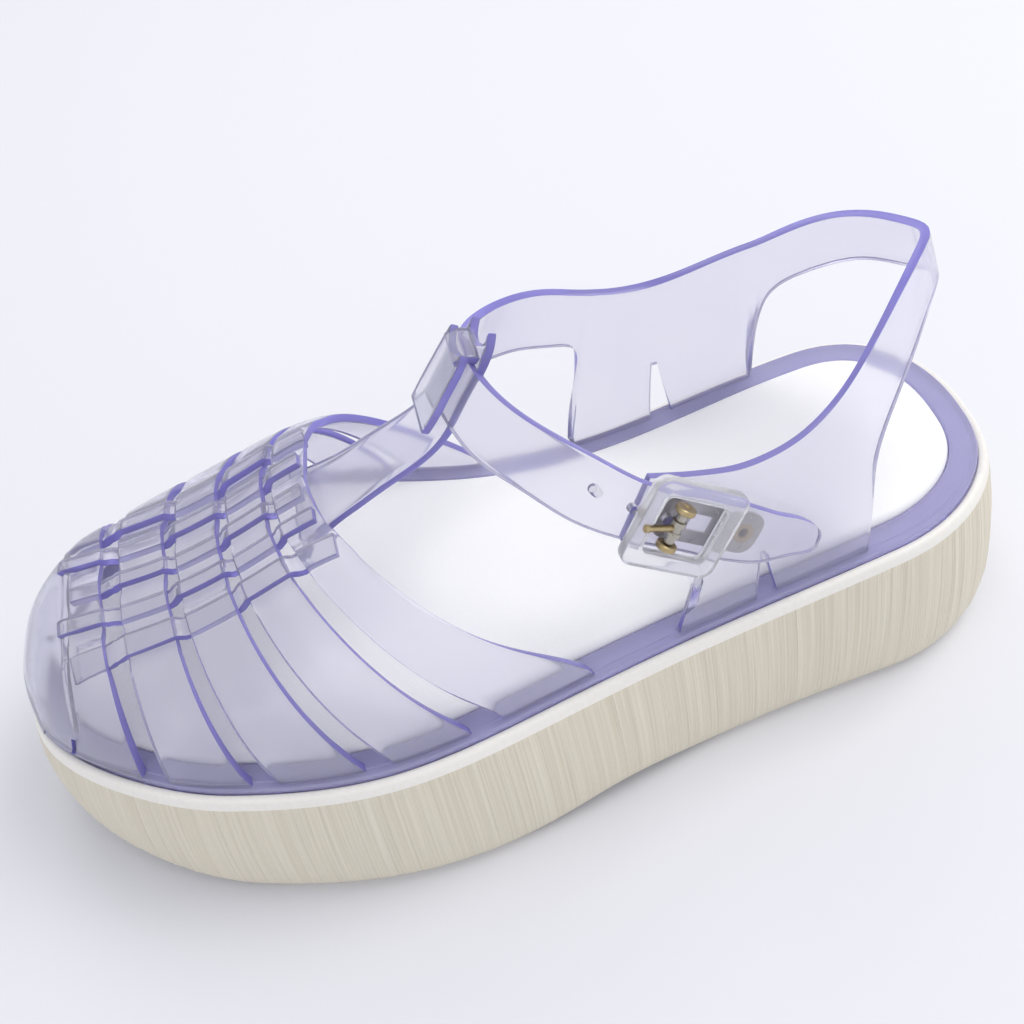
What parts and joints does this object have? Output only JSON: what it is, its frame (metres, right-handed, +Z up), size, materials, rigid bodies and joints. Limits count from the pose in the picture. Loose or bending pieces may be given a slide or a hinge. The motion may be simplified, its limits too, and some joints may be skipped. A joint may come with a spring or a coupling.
{
  "type": "jelly sandal",
  "caption": "Fisherman style jelly sandal: clear moulded strap upper with woven toe, T-bar loop and buckled ankle strap on a thick foam platform sole.",
  "frame": {"origin": "on the floor, under the middle of the sandal's box", "axes": "+Z up, -Y towards the toe, +Y towards the heel, +X towards the wearer's left, the outer side with the buckle"},
  "size_m": [0.119, 0.267, 0.1179],
  "materials": {
    "moulded_foam": "matt cream foam with a fine upright grain on the wall",
    "footbed_foam": "matt white",
    "clear_pvc": "clear lilac tinted, glossy",
    "clear_acrylic": "milky clear, glossy",
    "plated_steel": "satin nickel",
    "plated_brass": "satin",
    "rivet_brass": "satin"
  },
  "bodies": {
    "root": {"sole": "moulded_foam", "insole": "footbed_foam", "upper": "clear_pvc", "buckle_frame": "clear_acrylic", "buckle_plate": "plated_steel", "buckle_prong": "plated_brass", "rivet": "rivet_brass"}
  },
  "joints": []
}
